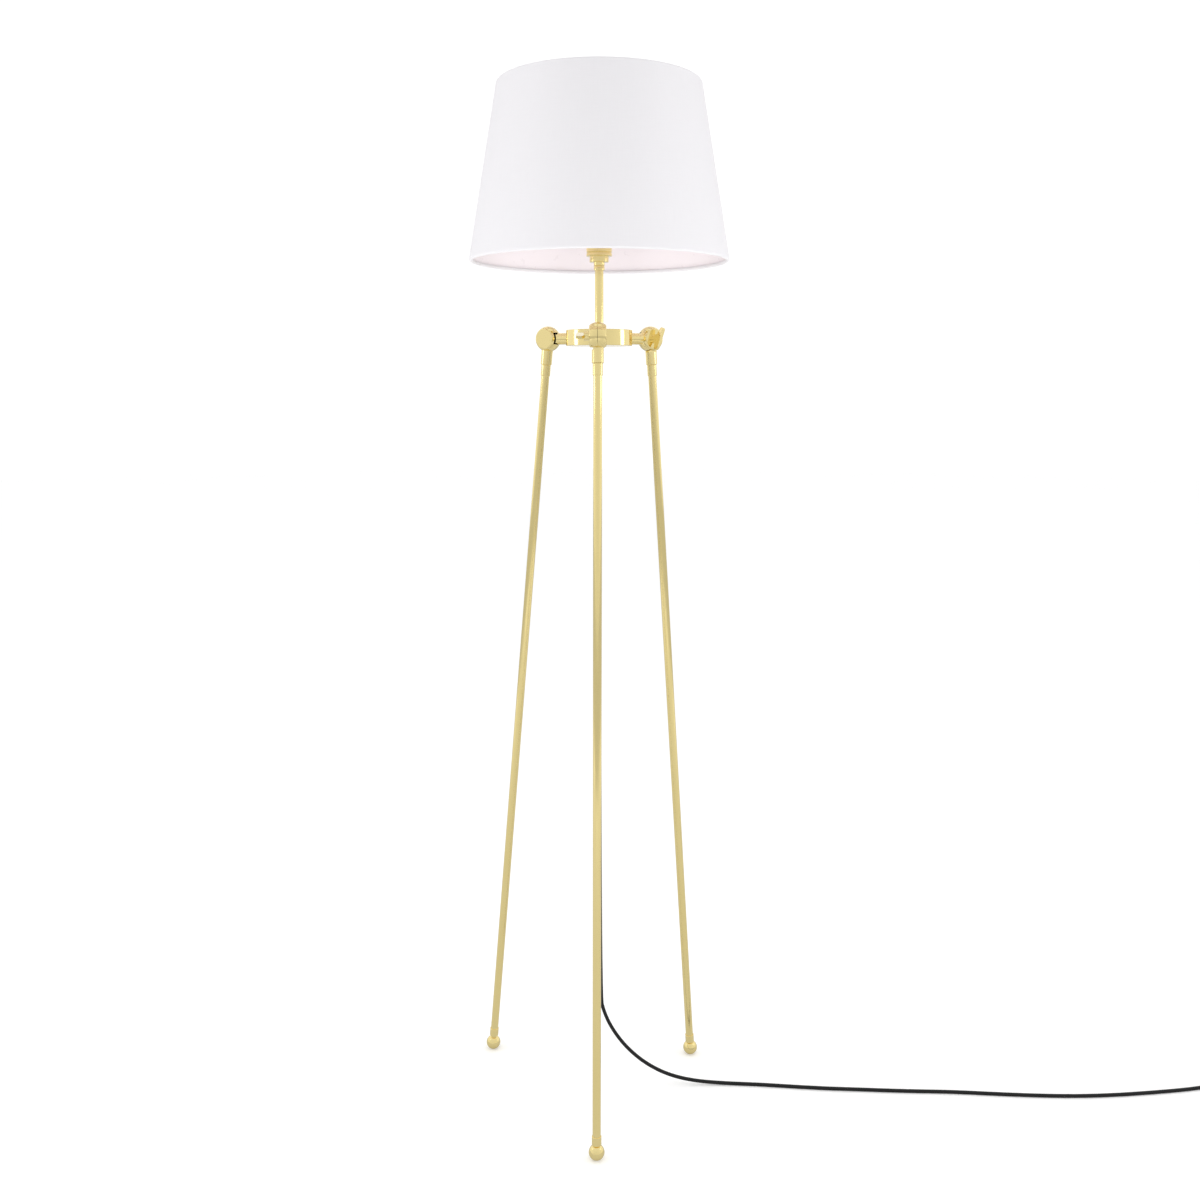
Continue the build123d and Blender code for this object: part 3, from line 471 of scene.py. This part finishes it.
route = cord_hang + cord_drop + [(x, y, cord_rest) for x, y in cord_floor] + cord_to_switch
route += cord_through_switch + cord_tail + coil_points() + cord_lead
flex_cord = round_cord("flex_cord", route, cord_diameter, flex_material)
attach(flex_cord, "root")
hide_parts("cord_main", "cord_tail", "cord_coil", "cord_lead")


def ribbed_relief(name, node, start, direction, length, radii, material):
    """A tapered strain relief with rings cut into it, from its tip at start to its root."""
    grooves = 5
    wall = cord_diameter / 2 + 0.05 * MM
    outline = [(wall, 0), (radii[0], 0)]
    for groove in range(grooves):
        middle_share = (groove + 0.75) / (grooves + 0.6)
        radius = radii[0] + (radii[1] - radii[0]) * middle_share
        centre = length * middle_share
        half = 0.16 * length / grooves
        depth = 0.28 * (radius - wall)
        outline += [(radius, centre - 1.6 * half), (radius - depth, centre - half)]
        outline += [(radius - depth, centre + half), (radius, centre + 1.6 * half)]
    outline += [(radii[1], length), (wall, length)]
    piece = lathe(name, rounded(outline, 0.3 * MM, 3), material, "root", frame_on(start, direction), 64)
    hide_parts(node)
    return piece


relief_tip = Vector((0, 0, relief_low.z))
cord_relief = ribbed_relief("cord_relief", "strain_relief", relief_tip, UP, relief_high.z - relief_low.z,
                            (relief_tip_radius, relief_root_radius), black_plastic)


# ---------------------------------------------------------------------------------------------- plug
plug_low, plug_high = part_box("plug_body")
plug_relief_low, plug_relief_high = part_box("plug_relief")
plug_start = Vector((plug_tail, plug_middle.y, plug_middle.z))
plug_relief_length = plug_relief_high.x - plug_tail
plug_relief_radius = (plug_relief_high.z - plug_relief_low.z) / 2
plug_boot = ribbed_relief("plug_boot", "plug_relief", plug_start, (1, 0, 0), plug_relief_length,
                          (relief_tip_radius, plug_relief_radius), flex_material)


def rounded_rectangle(width, height, corner, steps=6):
    """Points round a rectangle with round corners, about its middle."""
    points = []
    for quarter, (right, up) in enumerate(((1, 1), (-1, 1), (-1, -1), (1, -1))):
        across, along = right * (width / 2 - corner), up * (height / 2 - corner)
        for step in range(steps + 1):
            turn = (quarter + step / steps) * pi / 2
            points.append((across + corner * cos(turn), along + corner * sin(turn)))
    return points


def skinned(name, rings, material, body):
    """A closed skin over rings that all have the same number of points, with a flat cap at each end."""
    count = len(rings[0])
    vertices = [point for ring in rings for point in ring]
    faces = [list(range(count))[::-1], list(range(len(vertices) - count, len(vertices)))]
    for ring in range(len(rings) - 1):
        for i in range(count):
            here, after = ring * count + i, ring * count + (i + 1) % count
            faces.append([here, after, after + count, here + count])
    return new_piece(name, vertices, faces, material, body)


def plug_rings():
    """The plug from its cord end to its face: a widening neck, a waist to grip and a rounded front edge."""
    width, height = plug_high.y - plug_low.y, plug_high.z - plug_low.z
    length = plug_high.x - plug_low.x
    neck = 15 * MM
    corner_share = 0.34
    rings = []
    for share, wide, tall in ((0, 0.82, 0.82), (0.02, 0.95, 0.95), (0.05, 1, 1)):
        rings.append((plug_low.x + share * length, neck * wide, neck * tall))
    for step in range(1, 7):
        ease = (1 - cos(pi * step / 7)) / 2
        place = plug_low.x + length * (0.05 + 0.37 * step / 6)
        rings.append((place, neck + (width - neck) * ease, neck + (height - neck) * ease))
    waist = ((0.5, 0.99, 0.97), (0.62, 0.96, 0.91), (0.76, 0.96, 0.91), (0.88, 0.99, 0.98))
    for share, wide, tall in waist:
        rings.append((plug_low.x + share * length, width * wide, height * tall))
    for share, wide in ((0.93, 1), (0.975, 0.99), (0.993, 0.965), (1, 0.93)):
        rings.append((plug_low.x + share * length, width * wide, height * wide))
    return [
        [(x, plug_middle.y + u, plug_middle.z + v)
         for u, v in rounded_rectangle(wide, tall, corner_share * tall)]
        for x, wide, tall in rings
    ]


plug_shell = skinned("plug_shell", plug_rings(), black_plastic, "root")
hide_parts("plug_body")

on_the_cord = [
    cord_relief,
    plug_boot,
    plug_shell,
    softened("plug_pins", 0.2 * MM, nickel, "root"),
    softened("switch_base", 0.4 * MM, black_plastic, "root"),
    softened("switch_cover", 0.5 * MM, black_plastic, "root"),
    softened("switch_button", 0.5 * MM, black_button, "button"),
    nodes["switch_screws"],
]

# --------------------------------------------------------------------------------------------- shade
shade_low, shade_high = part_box("shade_fabric")
shade_bottom_radius = reach("shade_fabric", shade_low.z)
shade_top_radius = reach("shade_fabric", shade_high.z)
shade_height = shade_high.z - shade_low.z
slope = (shade_bottom_radius - shade_top_radius) / shade_height
lean = atan2(slope, 1)
cloth_thickness = 0.6 * MM
liner_thickness = 0.6 * MM
roll_turn = radians(245)
roll_steps = 20


def cone(height, inset=0.0):
    """The shade's radius at a height, set in from its outer face."""
    return shade_bottom_radius - (height - shade_low.z) * slope - inset


def wire_centre(node):
    """Radius and height of the middle of a rim wire."""
    low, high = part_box(node)
    return high.x - (high.z - low.z) / 2, (low.z + high.z) / 2


def cloth_path(inset):
    """The cloth's line, from its edge tucked behind the lower wire, round both wires, to behind the upper."""
    path = []
    for node, hand in (("shade_bottom_wire", 1), ("shade_top_wire", -1)):
        radius, height = wire_centre(node)
        roll = (cone(height, inset) - radius) * cos(lean)
        turns = [lean - hand * roll_turn * (1 - step / roll_steps) for step in range(roll_steps + 1)]
        arc = [(radius + roll * cos(turn), height + roll * sin(turn)) for turn in turns]
        path += arc if hand == 1 else arc[::-1]
    return path


shade_cloth = lathe("shade_cloth", cloth_path(0.0) + cloth_path(cloth_thickness)[::-1], shade_cloth_material,
                    "root", steps=192)
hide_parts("shade_fabric")

bottom_wire, top_wire = wire_centre("shade_bottom_wire"), wire_centre("shade_top_wire")
liner_outline = [
    (cone(bottom_wire[1], cloth_thickness), bottom_wire[1]),
    (cone(top_wire[1], cloth_thickness), top_wire[1]),
    (cone(top_wire[1], cloth_thickness + liner_thickness), top_wire[1]),
    (cone(bottom_wire[1], cloth_thickness + liner_thickness), bottom_wire[1]),
]
shade_liner = lathe("shade_lining", liner_outline, liner_material, "root", steps=192)
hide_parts("shade_liner")


def seam_strip(name, width, proud, material):
    """The cloth's overlap, down the back of the shade: a strip that lies on the cone with eased edges."""
    rows, columns = 24, 8
    low, high = bottom_wire[1], top_wire[1]
    vertices = []
    for layer in (0, 1):
        for row in range(rows + 1):
            height = low + (high - low) * row / rows
            for column in range(columns + 1):
                share = column / columns
                off = width * (share - 0.5)
                ease = min(1, 5 * min(share, 1 - share) + 0.15)
                radius = cone(height) + (proud * ease if layer else -0.2 * MM)
                turn = pi / 2 + off / radius
                vertices.append((radius * cos(turn), radius * sin(turn), height))
    size = (rows + 1) * (columns + 1)
    faces = []
    for row in range(rows):
        for column in range(columns):
            here = row * (columns + 1) + column
            quad = [here, here + 1, here + columns + 2, here + columns + 1]
            faces += [quad[::-1], [size + corner for corner in quad]]
    border = [row * (columns + 1) for row in range(rows + 1)]
    border += [rows * (columns + 1) + column for column in range(1, columns + 1)]
    border += [row * (columns + 1) + columns for row in range(rows - 1, -1, -1)]
    border += [column for column in range(columns - 1, 0, -1)]
    for here, after in zip(border, border[1:] + border[:1]):
        faces.append([here, after, after + size, here + size])
    return new_piece(name, vertices, faces, material, "root")


seam_width = 12 * MM
seam_height = 0.5 * MM
shade_seam = seam_strip("shade_seam", seam_width, seam_height, shade_cloth_material)

# ------------------------------------------------------------------------------- finish of CAD nodes
def finish(node, material):
    """Gives a CAD node its material."""
    mesh = nodes[node].data
    mesh.materials.clear()
    mesh.materials.append(material)


hub_turned = brass("brass_hub", (0, 0, 0), UP, "around")
stem_drawn = brass("brass_stem", (0, 0, 0), UP, "along")
cast_brass = brass("brass_cast", (0, 0, 0), UP, "cast")
finish("cover_screws", hub_turned)
softened("hub_body", 0.5 * MM, hub_turned, "root")
softened("hub_cover", 0.3 * MM, hub_turned, "root")


def turned(name, node, outline, radius):
    """A turned brass part on the lamp's axis that stands in for a CAD node.

    The outline is in millimetres, with its heights above the node's lowest point.
    """
    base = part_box(node)[0].z
    metres = [(r * MM, base + height * MM) for r, height in outline]
    piece = lathe(name, rounded(metres, radius), hub_turned, "root", steps=128)
    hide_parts(node)


holder_outline = [(5.05, 0), (8, 0), (8, 5.7), (7.4, 6.2), (7.4, 6.6), (8, 7.1), (8, 11.4), (14, 11.4)]
holder_outline += [(14, 19.8), (18.8, 19.8), (18.8, 23.9), (17.9, 24.5), (17.9, 25.1), (18.8, 25.7)]
holder_outline += [(18.8, 39.4), (17.2, 39.4), (17.2, 21.4), (12.4, 21.4), (12.4, 14.4), (5.05, 14.4)]
turned("lampholder_cap", "holder_cap", holder_outline, 0.7 * MM)

finial_outline = [(0, 11), (3.05, 11), (3.05, 0), (7, 0), (7, 5), (4.6, 6.2), (3.7, 8)]
finial_outline += [(4.9, 11.4), (4.9, 13.8), (3.1, 17), (0, 17)]
turned("finial_knob", "finial", finial_outline, 0.9 * MM)

skirt_low, skirt_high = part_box("holder_skirt")
skirt_bore = 15.6 * MM
skirt_pitch = 2.5 * MM
skirt_thread_depth = 0.9 * MM
skirt_plain = 1 * MM
skirt_thread = thread(skirt_high.x, skirt_thread_depth, skirt_pitch, skirt_low.z + skirt_plain,
                      skirt_high.z - skirt_plain)


def skirt_outline(turn):
    """The lampholder's skirt, threaded outside for the shade rings."""
    low, high = (skirt_bore, skirt_low.z), (skirt_bore, skirt_high.z)
    root = skirt_high.x - skirt_thread_depth
    return [low, (root, skirt_low.z), *skirt_thread(turn), (root, skirt_high.z), high]


skirt = lathe("threaded_skirt", skirt_outline, hub_turned, "root", steps=96)
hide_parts("holder_skirt")

rings_low, rings_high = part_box("shade_rings")
ring_height = 5 * MM
knurls = 60
knurl_wave = 0.35 * MM
ring_edge = 0.9 * MM
ring_edge_height = 0.7 * MM
ring_clearance = 0.05 * MM


def ring_outline(low):
    """A function for a shade ring's outline: a knurled rim with plain edges, and a bore."""
    high = low + ring_height

    def outline(turn):
        crest = rings_high.x - knurl_wave * (1 - cos(knurls * turn))
        edge = rings_high.x - ring_edge
        bore = skirt_high.x + ring_clearance
        rim = [(crest, low + ring_edge_height), (crest, high - ring_edge_height)]
        return [(bore, low), (edge, low), *rim, (edge, high), (bore, high)]

    return outline


for name, low in (("shade_ring_below", rings_low.z), ("shade_ring_above", rings_high.z - ring_height)):
    ring = lathe(name, ring_outline(low), hub_turned, "root", steps=480)
    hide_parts("shade_rings")

cap_low, cap_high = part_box("bulb_cap")
cap_pitch = 3.6 * MM
cap_thread_depth = 0.8 * MM
cap_thread_low = cap_low.z + 6.5 * MM
cap_thread_high = cap_high.z - 1.2 * MM
cap_thread = thread(cap_high.x, cap_thread_depth, cap_pitch, cap_thread_low, cap_thread_high)


def cap_outline(turn):
    """The bulb's screw cap, from its contact to its rim."""
    low = cap_low.z
    contact = [(0, low), (3.2 * MM, low + 0.3 * MM), (4.6 * MM, low + 1.8 * MM), (5.0 * MM, low + 3 * MM)]
    root = cap_high.x - cap_thread_depth
    return [*contact, (root, low + 5.9 * MM), *cap_thread(turn), (cap_high.x, cap_high.z), (0, cap_high.z)]


bulb_screw = lathe("bulb_screw_cap", cap_outline, nickel, "root", steps=96, closed=False)
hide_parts("bulb_cap")
finish("stem_tube", stem_drawn)
finish("cord_grip", black_plastic)
finish("holder_insulator", ceramic)
finish("holder_contacts", cast_brass)
finish("inner_flex", flex_material)
for node in ("arm_bolts", "m10_locknuts", "stem_nipples", "switch_screws"):
    finish(node, zinc)
for node in ("shade_top_wire", "shade_bottom_wire", "shade_carrier", "shade_spider"):
    finish(node, white_enamel)
finish("switch_block", black_plastic)
finish("bulb_globe", opal_glass)
for side in sides:
    origin, axis = leg_axis(side)
    leg_turned = brass(f"brass_leg_turned_{side}", origin, axis, "around")
    leg_drawn = brass(f"brass_leg_drawn_{side}", origin, axis, "along")
    finish(f"leg_tube_{side}", leg_drawn)
    softened(f"knuckle_hub_{side}", 0.35 * MM, cast_brass, "root")
    softened(f"knuckle_leg_{side}", 0.35 * MM, cast_brass, f"leg_{side}")
    softened(f"wing_screw_{side}", 0.5 * MM, cast_brass, f"wing_{side}")
    for node, ease in (("leg_sleeve", 0.25 * MM), ("leg_ferrule", 0.25 * MM), ("ball_foot", 0.3 * MM)):
        softened(f"{node}_{side}", ease, leg_turned, f"leg_{side}")
    finish(f"pivot_washer_{side}", fibre)


# -------------------------------------------------------------------------------------- floor and light
floor_radius = 14
floor_gap = 0.5 * MM
glow_near, glow_far = 0.78, 0.96
glow_seen = 1.1
strip_height = 1.287
lamp_middle = (0, 0, 1.4)


def studio_floor(name, height, shade, glow, seen):
    """A wide pale floor, either the one that the camera sees or the duller one that everything else sees."""
    mesh = bpy.data.meshes.new(name)
    shape = bmesh.new()
    bmesh.ops.create_circle(shape, cap_ends=True, segments=64, radius=floor_radius)
    shape.to_mesh(mesh)
    shape.free()
    material, tree, shader = new_material(name, Roughness=0.9, Emission_Color=(1, 1, 1, 1))
    shader.inputs["Specular IOR Level"].default_value = 0.1
    shader.inputs["Emission Strength"].default_value = glow
    tone = noise(tree, position(tree), 1.5)
    pale, dull = [(level,) * 3 for level in (shade, shade - 0.02)]
    tree.links.new(blend_colours(tree, tone, dull, pale), shader.inputs["Base Color"])
    mesh.materials.append(material)
    floor = bpy.data.objects.new(name, mesh)
    bpy.context.scene.collection.objects.link(floor)
    floor.location.z = height
    floor.visible_camera = seen
    for ray in ("glossy", "diffuse", "transmission", "shadow"):
        setattr(floor, f"visible_{ray}", not seen)


def softbox(name, place, target, width, height, power, shows=True, lights=True):
    """A soft rectangular light that the camera doesn't see. It shows in polished faces, lights, or both."""
    light = bpy.data.lights.new(name, "AREA")
    light.shape = "RECTANGLE"
    light.size, light.size_y = width, height
    light.energy = power
    box = bpy.data.objects.new(name, light)
    box.location = place
    box.rotation_euler = (Vector(target) - Vector(place)).to_track_quat("-Z", "Y").to_euler()
    box.visible_camera = False
    box.visible_glossy = shows
    box.visible_diffuse = lights
    bpy.context.scene.collection.objects.link(box)


def studio_world():
    """A white studio, a little darker towards the camera's side, and plain white to look at."""
    world = bpy.data.worlds.new("studio")
    bpy.context.scene.world = world
    world.use_nodes = True
    tree = world.node_tree
    ground = tree.nodes["Background"]
    direction = add(tree, "ShaderNodeTexCoord").outputs["Generated"]
    parts = add(tree, "ShaderNodeSeparateXYZ", {0: direction}).outputs
    sockets = {"Value": parts["Y"], "From Min": -1.0, "From Max": 0.3,
               "To Min": glow_near, "To Max": glow_far}
    glow = add(tree, "ShaderNodeMapRange", sockets).outputs["Result"]
    seen = add(tree, "ShaderNodeLightPath").outputs["Is Camera Ray"]
    strength = maths(tree, "MAXIMUM", glow, maths(tree, "MULTIPLY", seen, glow_seen))
    ground.inputs["Color"].default_value = (1, 1, 1, 1)
    tree.links.new(strength, ground.inputs["Strength"])


studio_floor("floor", 0, 0.94, 0.16, True)
studio_floor("floor_in_reflections", -floor_gap, 0.66, 0.0, False)
studio_world()
softbox("strip_left", (-1.7, -0.1, strip_height), (0, 0, strip_height), 0.45, 0.1, 0.45, lights=False)
softbox("strip_right", (1.7, -0.1, strip_height), (0, 0, strip_height), 0.45, 0.1, 0.45, lights=False)
softbox("front_fill", (0, -3, 0.6), lamp_middle, 2.5, 1.0, 24, shows=False)
softbox("side_fill_left", (-3, -0.4, 0.9), lamp_middle, 2.5, 1.6, 30, shows=False)
softbox("side_fill_right", (3, -0.4, 0.9), lamp_middle, 2.5, 1.6, 30, shows=False)
softbox("floor_bounce", (0, 0, 0.01), (0, 0, 1), 3, 3, 16, shows=False)
bpy.context.scene.view_settings.view_transform = "Standard"
bpy.context.scene.cycles.use_denoising = True
